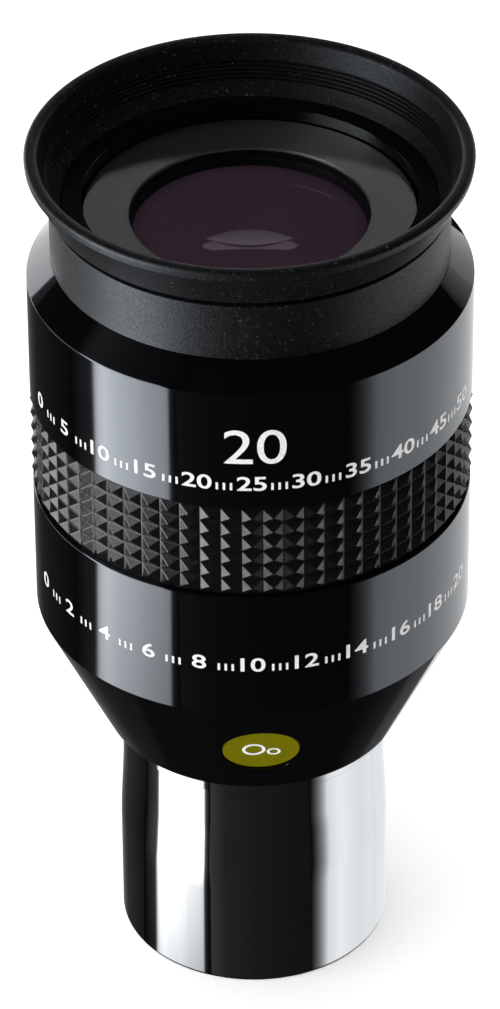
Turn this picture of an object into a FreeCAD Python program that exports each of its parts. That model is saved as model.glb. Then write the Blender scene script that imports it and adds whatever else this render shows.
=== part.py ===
"""A 1.25 inch telescope eyepiece, modelled piece by piece as it comes apart on a bench.

The frame: +Z runs up the optical axis from the open end of the chrome barrel to the eye,
-Y is the front, and the origin is the centre of the barrel's open end. Sizes are millimetres.
Every piece that is round about the optical axis is one turned body, whose corners are written as
(radius, height) in the words of the sheet "Dim".
"""
import FreeCAD, Part
import math
import os
import re
import Sketcher
from FreeCAD import Vector

DOC = FreeCAD.newDocument("Eyepiece")
DIM = DOC.addObject("Spreadsheet::Sheet", "Dim")

DIMENSIONS = [
    # barrel
    ("barrel_dia", 31.75, "standard 1.25 inch barrel"),
    ("barrel_full_z", 15.0, "the barrel keeps its full diameter up to here"),
    ("taper_r", 15.5, "radius where the steep part of the taper ends"),
    ("taper_z", 22.5, "height where the steep part of the taper ends"),
    ("waist_r", 15.42, "radius at the top of the taper"),
    ("waist_z", 28.0, "height of the top of the taper"),
    ("barrel_collar_r", 15.62, "short straight collar under the housing"),
    ("barrel_bore_r", 13.2, "bore above the filter thread"),
    ("filter_r", 14.25, "M28.5 x 0.6 filter thread, major radius"),
    ("filter_depth", 5.0, "depth of the filter thread"),
    ("spigot_r", 14.6, "threaded top of the barrel"),
    ("spigot_top", 38.0, "height of the barrel's threaded top"),
    ("edge", 0.3, "small chamfer on turned metal edges"),
    ("slack", 0.05, "radial play of a screwed or sliding fit"),
    # lower housing
    ("foot_z", 30.8, "underside of the housing, which stops the barrel in a focuser"),
    ("foot_r", 17.5, "radius of the cone's foot"),
    ("cone_angle", 25.15, "angle between the cone's side and the axis, in degrees"),
    ("lower_r", 25.2, "radius of the lower housing"),
    ("throat_r", 16.0, "bore round the field stop"),
    ("cell_foot", 52.0, "height of the optics cell's foot"),
    ("cell_bore_r", 18.7, "bore that takes the optics cell"),
    ("seal_recess_r", 15.7, "recess for the barrel's O-ring"),
    ("seal_recess", 0.9, "height of that recess"),
    ("seal_section", 0.6, "section radius of the O-rings in the turned grooves"),
    ("seal_groove", 1.3, "depth of those grooves"),
    ("seal_width", 1.4, "width of those grooves"),
    ("housing_seal_z", 77.9, "underside of the groove in the joining thread"),
    # grip ring
    ("grip_z", 63.9, "underside of the grip ring"),
    ("grip_height", 12.0, "height of the grip ring"),
    ("grip_seat_r", 22.6, "neck that the grip ring is stretched over"),
    ("grip_valley_r", 24.7, "bottom of the grip's grooves"),
    ("grip_tip_r", 25.35, "points of the grip's pyramids"),
    ("grip_pitch", 1.92, "height of one row of pyramids"),
    ("gap", 0.06, "fine gap between stacked pieces"),
    # upper housing
    ("upper_r", 25.25, "radius of the upper housing"),
    ("thread_r", 21.2, "thread that joins the two housings"),
    ("thread_top", 82.0, "top of that thread"),
    ("shoulder_z", 91.3, "foot of the sloping shoulder"),
    ("shoulder_top", 94.1, "top of the sloping shoulder"),
    ("collar_r", 21.1, "metal collar at the eye end, inside the eyecup"),
    ("collar_top", 101.0, "flat top of that collar"),
    ("collar_bore_r", 18.85, "bore of that collar"),
    # eyecup
    ("sleeve_r", 22.53, "outside of the eyecup's sleeve"),
    ("notch_z", 101.3, "fold notch between sleeve and flare"),
    ("flare_foot_r", 22.8, "outside of the flare at its foot"),
    ("flare_foot_z", 101.8, "height of that foot"),
    ("flare_in_r", 22.2, "inside of the flare a little above the collar"),
    ("flare_in_z", 102.4, "height of that point"),
    ("lip_z", 105.4, "underside of the lip"),
    ("lip_foot_r", 24.7, "outside of the lip at its underside"),
    ("lip_in_r", 23.1, "inside of the lip at its underside"),
    ("lip_r", 25.17, "widest radius of the lip"),
    ("lip_wide_z", 106.3, "height where the lip is widest"),
    ("lip_mouth_r", 23.45, "inside of the lip at its top"),
    ("total_height", 107.2, "top of the lip"),
    ("lip_round", 0.75, "rounding of the lip"),
    # eye end
    ("trim_r", 18.7, "outside of the grey trim ring"),
    ("trim_bore_r", 13.55, "bore of the trim ring"),
    ("trim_rim_z", 99.4, "top of the trim ring at its rim"),
    ("trim_bore_z", 98.85, "top of the trim ring at its bore"),
    ("trim_thick", 0.4, "thickness of the trim ring"),
    ("lock_step_z", 97.6, "small step in the lock ring's bore"),
    ("lock_foot_z", 96.66, "foot of the lock ring, on the eye lens"),
    ("window_r", 13.2, "clear radius over the eye lens"),
    # optics
    ("cell_r", 18.6, "outside of the optics cell"),
    ("cell_top", 96.5, "top of the optics cell"),
    ("cell_mouth_r", 17.1, "recess for the eye lens's O-ring"),
    ("cell_mouth", 1.1, "depth of that recess"),
    ("cell_floor", 2.0, "thickness of the cell's seat"),
    ("cell_seat_r", 11.0, "bore of the cell's seat"),
    ("eye_seal_section", 0.5, "section radius of the eye lens's O-ring"),
    ("glass_r", 15.95, "radius of the large lenses"),
    ("eye_front_axis", 97.2, "eye lens, upper face: height on the axis"),
    ("eye_front_edge", 96.35, "and at the edge"),
    ("eye_back_axis", 91.0, "eye lens, lower face"),
    ("eye_back_edge", 93.0, "and at the edge"),
    ("upper_front_axis", 90.6, "upper doublet, upper face"),
    ("upper_front_edge", 88.5, "and at the edge"),
    ("upper_joint_axis", 80.5, "upper doublet, cemented face"),
    ("upper_joint_edge", 84.5, "and at the edge"),
    ("upper_back_axis", 78.9, "upper doublet, lower face"),
    ("upper_back_edge", 78.5, "and at the edge"),
    ("lower_front_axis", 77.5, "lower doublet, upper face"),
    ("lower_front_edge", 75.0, "and at the edge"),
    ("lower_joint_axis", 67.0, "lower doublet, cemented face"),
    ("lower_joint_edge", 71.0, "and at the edge"),
    ("lower_back_axis", 65.2, "lower doublet, lower face"),
    ("lower_back_edge", 64.5, "and at the edge"),
    ("spacer_r", 14.5, "bore of the spacers"),
    ("cement", 0.02, "cement between the lenses of a doublet"),
    ("field_glass_r", 10.0, "radius of the field lenses"),
    ("field_cell_z", 9.0, "underside of the field lens cell"),
    ("field_cell_top", 24.0, "top of the field lens cell"),
    ("field_lip", 1.2, "lip that the field lenses rest on"),
    ("field_window_r", 9.0, "clear radius under the field lenses"),
    ("field_front_axis", 16.4, "field doublet, upper face"),
    ("field_front_edge", 17.0, "and at the edge"),
    ("field_joint_axis", 13.4, "field doublet, cemented face"),
    ("field_joint_edge", 15.0, "and at the edge"),
    ("field_back_axis", 11.6, "field doublet, lower face"),
    ("field_back_edge", 10.2, "and at the edge"),
    ("field_ring", 1.6, "thickness of the ring that holds the field lenses"),
    ("field_seal_z", 20.3, "underside of the O-ring groove in the field lens cell"),
    ("baffle_r", 11.5, "bore of the baffle tube between its ridges"),
    ("baffle_ridge", 0.5, "height of those ridges"),
    ("stop_r", 7.2, "opening of the field stop"),
    ("stop_z", 50.0, "underside of the field stop"),
    ("stop_thick", 0.8, "thickness of the field stop"),
    # purge port, set square to the cone
    ("port_z", 38.6, "height of the port's centre on the cone"),
    ("port_azimuth", 2.4, "angle of the port from the front, towards +X"),
    ("port_r", 4.7, "radius of the disc's recess"),
    ("port_depth", 1.0, "depth of the disc's recess"),
    ("disc_r", 4.45, "radius of the coloured disc"),
    ("disc_thick", 0.55, "thickness of the coloured disc"),
    ("plug_seat_r", 2.8, "counterbore for the plug's head"),
    ("plug_seat_depth", 2.6, "depth of that counterbore from the cone"),
    ("plug_head_r", 2.5, "radius of the plug's head"),
    ("plug_head", 0.9, "thickness of the plug's head"),
    ("plug_r", 1.5, "M3 shank of the plug"),
    ("plug_length", 3.5, "length of the shank"),
    ("socket_r", 0.87, "corner radius of the plug's hexagon socket"),
    ("socket_depth", 0.6, "depth of that socket"),
    ("plug_seal_section", 0.29, "section radius of the O-ring under the plug's head"),
    ("plug_seal_space", 0.6, "space that it fills under the head"),
]

GRIP_ROWS = 6
GRIP_COLUMNS = 66
BAFFLE_RIDGES = 6
BARREL_R = "barrel_dia / 2"
GRIP_TOP = "grip_z + grip_height"
CONE_TOP = "foot_z + (lower_r - foot_r) / tan(cone_angle)"
PORT_RADIUS = "foot_r + (port_z - foot_z) * tan(cone_angle)"
SUB_PARTS = []


def fill_sheet():
    """One row per driving dimension: its name, its value under that alias, and what it is."""
    for row, (alias, value, meaning) in enumerate(DIMENSIONS, start=1):
        DIM.set("A%d" % row, alias)
        DIM.set("B%d" % row, str(value))
        DIM.set("C%d" % row, meaning)
        DIM.setAlias("B%d" % row, alias)
    DOC.recompute()


def bound(words):
    """The sheet's words as an expression for another object: every alias gets its sheet's name."""
    return re.sub(r"\b[a-z]\w*\b(?!\()", r"Dim.\g<0>", words)


def number(words):
    """The value of an expression in the sheet's words."""
    return float(DIM.evalExpression(words))


def keep(piece, label):
    piece.Label = label
    SUB_PARTS.append(piece)
    return piece


def new_body(label):
    return keep(DOC.addObject("PartDesign::Body", label), label)


def origin_feature(body, role):
    """One of the body's own origin planes or axes."""
    return next(item for item in body.Origin.OriginFeatures if item.Role == role)


def new_sketch(body, name, role):
    sketch = body.newObject("Sketcher::SketchObject", name)
    sketch.AttachmentSupport = (origin_feature(body, role), [""])
    sketch.MapMode = "FlatFace"
    return sketch


def pin_corner(sketch, side, end, along, words):
    """Hold one coordinate of a corner at the value that the sheet's words give."""
    if abs(number(words)) < 1e-9:
        axis = -2 if along == "DistanceX" else -1
        sketch.addConstraint(Sketcher.Constraint("PointOnObject", side, end, axis))
        return
    index = sketch.addConstraint(Sketcher.Constraint(along, -1, 1, side, end, number(words)))
    sketch.setExpression("Constraints[%d]" % index, bound(words))


def dome_arc(start, finish):
    """The arc between two corners whose centre is on the axis, and whether it runs start to finish."""
    centre = (finish.Length ** 2 - start.Length ** 2) / (2 * (finish.y - start.y))
    middle = Vector(0, centre, 0)
    first = math.atan2(start.y - centre, start.x)
    last = math.atan2(finish.y - centre, finish.x)
    forward = (last - first) % (2 * math.pi) < math.pi
    if not forward:
        first, last = last, first
    circle = Part.Circle(middle, Vector(0, 0, 1), start.distanceToPoint(middle))
    return Part.ArcOfCircle(circle, first, last), forward


def draw_outline(sketch, corners, domes=()):
    """A closed outline. The sides numbered in domes are spherical faces centred on the axis."""
    points = [Vector(number(radius), number(height), 0) for radius, height in corners]
    ends = []
    for side, start in enumerate(points):
        finish = points[(side + 1) % len(points)]
        forward = True
        if side in domes:
            geometry, forward = dome_arc(start, finish)
        else:
            geometry = Part.LineSegment(start, finish)
        sketch.addGeometry(geometry, False)
        ends.append((1, 2) if forward else (2, 1))
    for side, (radius, height) in enumerate(corners):
        before = side - 1 if side else len(corners) - 1
        join = Sketcher.Constraint("Coincident", before, ends[before][1], side, ends[side][0])
        sketch.addConstraint(join)
        pin_corner(sketch, side, ends[side][0], "DistanceX", radius)
        pin_corner(sketch, side, ends[side][0], "DistanceY", height)
    for side in domes:
        sketch.addConstraint(Sketcher.Constraint("PointOnObject", side, 3, -2))


def turned(label, corners, domes=()):
    """A body turned about the optical axis."""
    body = new_body(label)
    sketch = new_sketch(body, label + "_outline", "XZ_Plane")
    draw_outline(sketch, corners, domes)
    turning = body.newObject("PartDesign::Revolution", label + "_turning")
    turning.Profile = sketch
    turning.ReferenceAxis = (sketch, ["V_Axis"])
    turning.Angle = 360
    sketch.Visibility = False
    DOC.recompute()
    return body


def cut_ring(body, name, inner, outer, low, high):
    """A groove of rectangular section turned into the body."""
    before = body.Shape.Volume
    sketch = new_sketch(body, name + "_outline", "XZ_Plane")
    draw_outline(sketch, [(inner, low), (outer, low), (outer, high), (inner, high)])
    groove = body.newObject("PartDesign::Groove", name)
    groove.Profile = sketch
    groove.ReferenceAxis = (sketch, ["V_Axis"])
    groove.Angle = 360
    sketch.Visibility = False
    DOC.recompute()
    if body.Shape.Volume >= before:
        raise RuntimeError("%s cuts nothing" % name)


def rim_names(shape, radius, height):
    """Names of the circular edges of one radius at one height."""
    names = []
    for index, rim in enumerate(shape.Edges, start=1):
        curve = rim.Curve
        if curve.TypeId != "Part::GeomCircle":
            continue
        if abs(curve.Radius - radius) < 1e-3 and abs(curve.Center.z - height) < 1e-3:
            names.append("Edge%d" % index)
    return names


def ease(body, kind, size, rims):
    """Chamfer or round the circular edges at the given (radius, height) places."""
    base = body.Tip
    names = []
    for radius, height in rims:
        names += rim_names(base.Shape, number(radius), number(height))
    if len(names) < len(rims):
        raise RuntimeError("%s lacks an edge to ease" % body.Label)
    feature = body.newObject("PartDesign::" + kind, "%s_%s" % (body.Label, kind.lower()))
    feature.Base = (base, names)
    feature.setExpression("Radius" if kind == "Fillet" else "Size", bound(size))
    base.Visibility = False
    DOC.recompute()


def ring(label, inner, outer, low, high):
    """A plain turned ring."""
    return turned(label, [(inner, low), (outer, low), (outer, high), (inner, high)])


def lens(label, radius, lower, upper, bed="0"):
    """A lens between two spherical faces named in the sheet, the lower one raised by its cement bed."""
    return turned(label, [
        ("0", "%s_axis + %s" % (lower, bed)),
        (radius, "%s_edge + %s" % (lower, bed)),
        (radius, upper + "_edge"),
        ("0", upper + "_axis"),
    ], domes=(0, 2))


def seat(face):
    """Height where a bulging face meets the bore of a spacer."""
    return "{0}_edge + ({0}_axis - {0}_edge) * (1 - (spacer_r / glass_r)^2)".format(face)


def o_ring(label, radius, section, height):
    seal = keep(DOC.addObject("Part::Torus", label), label)
    seal.setExpression("Radius1", bound(radius))
    seal.setExpression("Radius2", bound(section))
    seal.setExpression("Placement.Base.z", bound(height))
    return seal


def make_barrel():
    """Chrome barrel: filter thread below, a tapered undercut, and a threaded spigot on top."""
    body = turned("barrel_tube", [
        ("filter_r", "0"),
        (BARREL_R, "0"),
        (BARREL_R, "barrel_full_z"),
        ("taper_r", "taper_z"),
        ("waist_r", "waist_z"),
        ("barrel_collar_r", "waist_z + edge / 2"),
        ("barrel_collar_r", "foot_z"),
        ("spigot_r", "foot_z"),
        ("spigot_r", "spigot_top"),
        ("barrel_bore_r", "spigot_top"),
        ("barrel_bore_r", "filter_depth"),
        ("filter_r", "filter_depth"),
    ])
    ease(body, "Chamfer", "edge", [(BARREL_R, "0"), ("filter_r", "0")])
    o_ring("barrel_seal_oring", "(seal_recess_r + spigot_r + slack) / 2", "seal_recess / 2 - slack",
           "foot_z + seal_recess / 2")


def port_placement(height):
    """The place of something set square to the cone at the port, height above the cone's surface."""
    radius = "(%s + (%s) * cos(cone_angle))" % (PORT_RADIUS, height)
    place = "vector(%s * sin(port_azimuth); 0 - %s * cos(port_azimuth); port_z - (%s) * sin(cone_angle))" % (
        radius, radius, height)
    return bound("placement(%s; rotation(port_azimuth; 0; 90 + cone_angle))" % place)


def cut_port(body, name, radius, depth):
    """A round pocket sunk square into the cone."""
    before = body.Shape.Volume
    sketch = new_sketch(body, name + "_circle", "XY_Plane")
    sketch.setExpression("AttachmentOffset", port_placement("edge"))
    sketch.addGeometry(Part.Circle(Vector(), Vector(0, 0, 1), number(radius)), False)
    sketch.addConstraint(Sketcher.Constraint("Coincident", 0, 3, -1, 1))
    sketch.addConstraint(Sketcher.Constraint("Radius", 0, number(radius)))
    sketch.setExpression("Constraints[1]", bound(radius))
    pocket = body.newObject("PartDesign::Pocket", name)
    pocket.Profile = sketch
    pocket.setExpression("Length", bound("edge + " + depth))
    sketch.Visibility = False
    DOC.recompute()
    if body.Shape.Volume >= before:
        raise RuntimeError("%s cuts nothing" % name)


def make_lower_housing():
    """Lower housing: cone and cylinder outside, with the neck for the grip and the joining thread."""
    body = turned("lower_housing", [
        ("seal_recess_r", "foot_z"),
        ("foot_r", "foot_z"),
        ("lower_r", CONE_TOP),
        ("lower_r", "grip_z - gap"),
        ("grip_seat_r", "grip_z - gap"),
        ("grip_seat_r", GRIP_TOP + " + gap"),
        ("thread_r", GRIP_TOP + " + gap"),
        ("thread_r", "thread_top - slack"),
        ("cell_bore_r", "thread_top - slack"),
        ("cell_bore_r", "cell_foot"),
        ("throat_r", "cell_foot"),
        ("throat_r", "spigot_top + slack"),
        ("spigot_r + slack", "spigot_top + slack"),
        ("spigot_r + slack", "foot_z + seal_recess"),
        ("seal_recess_r", "foot_z + seal_recess"),
    ])
    cut_ring(body, "housing_seal_groove", "thread_r - seal_groove", "thread_r + 1",
             "housing_seal_z", "housing_seal_z + seal_width")
    cut_port(body, "disc_recess", "port_r", "port_depth")
    cut_port(body, "plug_counterbore", "plug_seat_r", "plug_seat_depth")
    cut_port(body, "purge_hole", "plug_r + slack", "plug_seat_depth + plug_length + 1")
    ease(body, "Chamfer", "edge / 2", [("foot_r", "foot_z"), ("lower_r", "grip_z - gap")])
    o_ring("housing_seal_oring", "thread_r - seal_groove / 2", "seal_section",
           "housing_seal_z + seal_width / 2")


def draw_notch(body):
    """The V between two columns of points, symmetrical about the X axis."""
    half = "(180 / %d)" % GRIP_COLUMNS
    overrun = 1.25
    sketch = new_sketch(body, "grip_notch_outline", "XY_Plane")
    far_x = "grip_valley_r + %s * (grip_tip_r * cos(%s) - grip_valley_r)" % (overrun, half)
    far_y = "%s * grip_tip_r * sin(%s)" % (overrun, half)
    root = Vector(number("grip_valley_r"), 0, 0)
    left = Vector(number(far_x), number(far_y), 0)
    right = Vector(left.x, -left.y, 0)
    for start, finish in ((root, left), (left, right), (right, root)):
        sketch.addGeometry(Part.LineSegment(start, finish), False)
    for side in range(3):
        sketch.addConstraint(Sketcher.Constraint("Coincident", side, 2, (side + 1) % 3, 1))
    pin_corner(sketch, 0, 1, "DistanceX", "grip_valley_r")
    pin_corner(sketch, 0, 1, "DistanceY", "0")
    pin_corner(sketch, 1, 1, "DistanceX", far_x)
    pin_corner(sketch, 1, 1, "DistanceY", far_y)
    sketch.addConstraint(Sketcher.Constraint("Symmetric", 1, 1, 1, 2, -1))
    sketch.Visibility = False
    return sketch


def make_grip():
    """Rubber grip ring: rows of points cut into columns, stretched over the housing's neck."""
    rim = "(grip_height - %d * grip_pitch) / 2" % GRIP_ROWS
    corners = [("grip_seat_r + slack", "grip_z"), ("grip_valley_r", "grip_z")]
    for row in range(GRIP_ROWS):
        low = "grip_z + %s + %d * grip_pitch" % (rim, row)
        corners.append(("grip_valley_r", low))
        corners.append(("grip_tip_r", low + " + grip_pitch / 2"))
    corners.append(("grip_valley_r", "%s - %s" % (GRIP_TOP, rim)))
    corners.append(("grip_valley_r", GRIP_TOP))
    corners.append(("grip_seat_r + slack", GRIP_TOP))
    body = turned("grip_ring", corners)
    before = body.Shape.Volume
    notch = body.newObject("PartDesign::Pocket", "grip_notch")
    notch.Profile = draw_notch(body)
    notch.Midplane = True
    notch.setExpression("Length", bound("2 * total_height"))
    DOC.recompute()
    notches = body.newObject("PartDesign::PolarPattern", "grip_notches")
    notches.Originals = [notch]
    notches.Axis = (origin_feature(body, "Z_Axis"), [""])
    notches.Angle = 360
    notches.Occurrences = GRIP_COLUMNS
    body.Tip = notches
    DOC.recompute()
    if body.Shape.Volume >= before:
        raise RuntimeError("the grip's notches cut nothing")


def make_upper_housing():
    """Upper housing: cylinder, sloping shoulder, and the collar that carries the eyecup."""
    body = turned("upper_housing", [
        ("thread_r + slack", GRIP_TOP + " + gap"),
        ("upper_r", GRIP_TOP + " + gap"),
        ("upper_r", "shoulder_z"),
        ("sleeve_r", "shoulder_top"),
        ("collar_r", "shoulder_top"),
        ("collar_r", "collar_top"),
        ("collar_bore_r", "collar_top"),
        ("collar_bore_r", "thread_top"),
        ("thread_r + slack", "thread_top"),
    ])
    ease(body, "Chamfer", "edge / 2", [("upper_r", GRIP_TOP + " + gap")])
    ease(body, "Chamfer", "edge", [("collar_bore_r", "collar_top")])


def make_eyecup():
    """Rubber eyecup: a sleeve on the collar, the flare that rolls back, and the lip it carries."""
    ring("eyecup_sleeve", "collar_r + slack", "sleeve_r", "shoulder_top + gap", "notch_z")
    turned("eyecup_flare", [
        ("collar_r", "notch_z + slack"),
        ("sleeve_r", "notch_z + slack"),
        ("flare_foot_r", "flare_foot_z"),
        ("lip_foot_r", "lip_z - slack"),
        ("lip_in_r", "lip_z - slack"),
        ("flare_in_r", "flare_in_z"),
    ])
    lip = turned("eyecup_lip", [
        ("lip_in_r", "lip_z"),
        ("lip_foot_r", "lip_z"),
        ("lip_r", "lip_wide_z"),
        ("lip_r", "total_height"),
        ("lip_mouth_r", "total_height"),
    ])
    ease(lip, "Fillet", "lip_round", [("lip_r", "total_height"), ("lip_mouth_r", "total_height")])


def make_eye_end():
    """What closes the eye end: the grey trim ring, the lock ring under it, and the lens's seal."""
    turned("eye_trim_ring", [
        ("trim_bore_r", "trim_bore_z - trim_thick"),
        ("trim_r", "trim_rim_z - trim_thick"),
        ("trim_r", "trim_rim_z"),
        ("trim_bore_r", "trim_bore_z"),
    ])
    turned("eye_lock_ring", [
        ("window_r", "lock_foot_z"),
        ("glass_r + slack", "cell_top + gap"),
        ("cell_r", "cell_top + gap"),
        ("cell_r", "trim_rim_z - trim_thick - gap"),
        ("trim_bore_r", "trim_bore_z - trim_thick - gap"),
        ("trim_bore_r", "lock_step_z"),
        ("trim_bore_r - 0.2", "lock_step_z"),
    ])
    o_ring("eye_seal_oring", "(glass_r + cell_mouth_r) / 2 + slack / 2", "eye_seal_section",
           "cell_top - cell_mouth / 2")


def make_optics():
    """Eye lens, two doublets and their spacers, stacked in one cell from its seat to the eye."""
    turned("optics_cell", [
        ("cell_seat_r", "cell_foot"),
        ("cell_r", "cell_foot"),
        ("cell_r", "cell_top"),
        ("cell_mouth_r", "cell_top"),
        ("cell_mouth_r", "cell_top - cell_mouth"),
        ("glass_r + slack", "cell_top - cell_mouth"),
        ("glass_r + slack", "cell_foot + cell_floor"),
        ("cell_seat_r", "cell_foot + cell_floor"),
    ])
    lens("eye_lens", "glass_r", "eye_back", "eye_front")
    lens("doublet_a_crown", "glass_r", "upper_joint", "upper_front", "cement")
    lens("doublet_a_flint", "glass_r", "upper_back", "upper_joint")
    lens("doublet_b_crown", "glass_r", "lower_joint", "lower_front", "cement")
    lens("doublet_b_flint", "glass_r", "lower_back", "lower_joint")
    ring("upper_spacer", "spacer_r", "glass_r", seat("upper_front") + " + cement",
         seat("eye_back") + " - cement")
    ring("middle_spacer", "spacer_r", "glass_r", seat("lower_front") + " + cement",
         "upper_back_edge - cement")
    ring("lower_spacer", "spacer_r", "glass_r", "cell_foot + cell_floor", "lower_back_edge - cement")


def make_field_group():
    """The negative doublet low in the barrel, with its cell, ring and seal, and the field stop."""
    outer = "barrel_bore_r - slack"
    cell = turned("field_lens_cell", [
        ("field_window_r", "field_cell_z"),
        (outer, "field_cell_z"),
        (outer, "field_cell_top"),
        ("field_glass_r + slack", "field_cell_top"),
        ("field_glass_r + slack", "field_cell_z + field_lip"),
        ("field_window_r", "field_cell_z + field_lip"),
    ])
    cut_ring(cell, "field_seal_groove", outer + " - seal_groove", "barrel_bore_r + 1",
             "field_seal_z", "field_seal_z + seal_width")
    ease(cell, "Chamfer", "edge", [("field_window_r", "field_cell_z")])
    lens("field_lens_lower", "field_glass_r", "field_back", "field_joint")
    lens("field_lens_upper", "field_glass_r", "field_joint", "field_front", "cement")
    ring("field_retaining_ring", "field_window_r", "field_glass_r", "field_front_edge + cement",
         "field_front_edge + cement + field_ring")
    o_ring("field_seal_oring", outer + " - seal_groove / 2", "seal_section",
           "field_seal_z + seal_width / 2")
    ring("field_stop", "stop_r", "throat_r - slack", "stop_z", "stop_z + stop_thick")


def make_baffle():
    """Blackened tube between the field lenses and the field stop, ridged inside against glare."""
    corners = [("barrel_bore_r - slack", "field_cell_top + gap"), ("barrel_bore_r - slack", "spigot_top")]
    pitch = "(spigot_top - field_cell_top - gap) / %d" % BAFFLE_RIDGES
    for ridge in range(BAFFLE_RIDGES):
        corners.append(("baffle_r - baffle_ridge", "spigot_top - %d * %s" % (ridge, pitch)))
        corners.append(("baffle_r", "spigot_top - %d.8 * %s" % (ridge, pitch)))
    corners.append(("baffle_r", "field_cell_top + gap"))
    turned("baffle_tube", corners)


def make_purge_port():
    """The screw plug of the purge hole, its O-ring, and the coloured disc that covers it."""
    disc = keep(DOC.addObject("Part::Cylinder", "purge_disc"), "purge_disc")
    disc.setExpression("Radius", bound("disc_r"))
    disc.setExpression("Height", bound("disc_thick"))
    disc.setExpression("Placement", port_placement("0 - port_depth"))

    head = DOC.addObject("Part::Cylinder", "plug_head")
    head.setExpression("Radius", bound("plug_head_r"))
    head.setExpression("Height", bound("plug_head"))
    shank = DOC.addObject("Part::Cylinder", "plug_shank")
    shank.setExpression("Radius", bound("plug_r"))
    shank.setExpression("Height", bound("plug_length"))
    shank.setExpression("Placement.Base.z", bound("0 - plug_length"))
    screw = DOC.addObject("Part::Fuse", "plug_screw")
    screw.Base = head
    screw.Tool = shank
    socket = DOC.addObject("Part::Prism", "plug_socket")
    socket.Polygon = 6
    socket.setExpression("Circumradius", bound("socket_r"))
    socket.setExpression("Height", bound("socket_depth + 1"))
    socket.setExpression("Placement.Base.z", bound("plug_head - socket_depth"))
    plug = keep(DOC.addObject("Part::Cut", "purge_plug"), "purge_plug")
    plug.Base = screw
    plug.Tool = socket
    plug.setExpression("Placement", port_placement("plug_seal_space - plug_seat_depth"))

    seal = keep(DOC.addObject("Part::Torus", "purge_seal_oring"), "purge_seal_oring")
    seal.setExpression("Radius1", bound("plug_r + plug_seal_section + slack"))
    seal.setExpression("Radius2", bound("plug_seal_section"))
    seal.setExpression("Placement", port_placement("plug_seal_space / 2 - plug_seat_depth"))


def check_document():
    """Stop if any object failed, or if any sub-part's shape is empty or broken."""
    for item in DOC.Objects:
        if "Invalid" in item.State or "Error" in item.State:
            raise RuntimeError("%s failed: %s" % (item.Label, item.State))
    for piece in SUB_PARTS:
        if piece.Shape.isNull() or not piece.Shape.isValid():
            raise RuntimeError("%s has no valid shape" % piece.Label)


def write_parts():
    os.makedirs("parts", exist_ok=True)
    for piece in SUB_PARTS:
        piece.Shape.exportStep(os.path.join("parts", piece.Label + ".step"))
        box = piece.Shape.BoundBox
        print("%-22s %9.1f mm3  z %7.2f to %7.2f  r %.2f" % (
            piece.Label, piece.Shape.Volume, box.ZMin, box.ZMax, box.XMax))


fill_sheet()
make_barrel()
make_lower_housing()
make_grip()
make_upper_housing()
make_eyecup()
make_eye_end()
make_optics()
make_field_group()
make_baffle()
make_purge_port()
DOC.recompute()
check_document()
write_parts()
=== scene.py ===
"""A telescope eyepiece with a chrome barrel, gloss black housings, a knurled grip and a rubber eyecup.

Lengths inside this script are millimetres in the CAD frame (+Z up the optical axis, -Y the front)
and become metres as each mesh is made. The corners of a turned outline are (radius, height, rounding).
"""
import math
import bmesh
import bpy
from mathutils import Euler, Matrix, Vector


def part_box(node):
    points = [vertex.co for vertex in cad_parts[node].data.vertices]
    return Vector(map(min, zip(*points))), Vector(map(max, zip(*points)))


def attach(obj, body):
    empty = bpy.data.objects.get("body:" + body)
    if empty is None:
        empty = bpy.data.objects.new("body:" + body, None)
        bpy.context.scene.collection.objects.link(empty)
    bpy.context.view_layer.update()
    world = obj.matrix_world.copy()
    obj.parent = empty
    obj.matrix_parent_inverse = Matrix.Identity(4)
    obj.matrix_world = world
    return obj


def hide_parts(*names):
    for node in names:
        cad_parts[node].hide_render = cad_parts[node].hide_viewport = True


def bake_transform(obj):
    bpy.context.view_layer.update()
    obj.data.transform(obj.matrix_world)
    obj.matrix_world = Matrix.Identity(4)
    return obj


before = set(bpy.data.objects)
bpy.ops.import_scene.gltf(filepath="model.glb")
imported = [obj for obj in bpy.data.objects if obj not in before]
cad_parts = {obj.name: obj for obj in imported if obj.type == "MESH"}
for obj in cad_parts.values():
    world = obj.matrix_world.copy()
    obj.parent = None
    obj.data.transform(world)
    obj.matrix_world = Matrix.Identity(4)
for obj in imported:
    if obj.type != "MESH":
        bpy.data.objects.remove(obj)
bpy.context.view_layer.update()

MM = 0.001

# ---------------------------------------------------------------- sizes taken from the frame


def low(node):
    """Height of a node's underside, in mm."""
    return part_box(node)[0][2] / MM


def high(node):
    """Height of a node's top, in mm."""
    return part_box(node)[1][2] / MM


def radius(node):
    """Largest radius of a node that is round about the optical axis, in mm."""
    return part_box(node)[1][1] / MM


BARREL_R = radius("barrel_tube")
LOWER_R = radius("lower_housing")
UPPER_R = radius("upper_housing")
SLEEVE_R = radius("eyecup_sleeve")
FOOT_Z = low("lower_housing")
GRIP_Z = low("grip_ring")
GRIP_TOP = high("grip_ring")
COLLAR_TOP = high("upper_housing")
SLEEVE_Z = low("eyecup_sleeve")
LIP_TOP = high("eyecup_lip")
TRIM_TOP = high("eye_trim_ring")
LENS_TOP = high("eye_lens")

# ---------------------------------------------------------------- camera

CAMERA_DISTANCE = 703.3
CAMERA_LENS = 214.27
CAMERA_SENSOR = 36.0
CAMERA_TARGET_Z = 45.0
CAMERA_RISE = 36.586
CAMERA_PITCH_UP = 0.8985
CAMERA_YAW = 0.0224
CAMERA_ROLL = -0.399
CLIP_START = 50.0
CLIP_END = 50000.0


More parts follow.
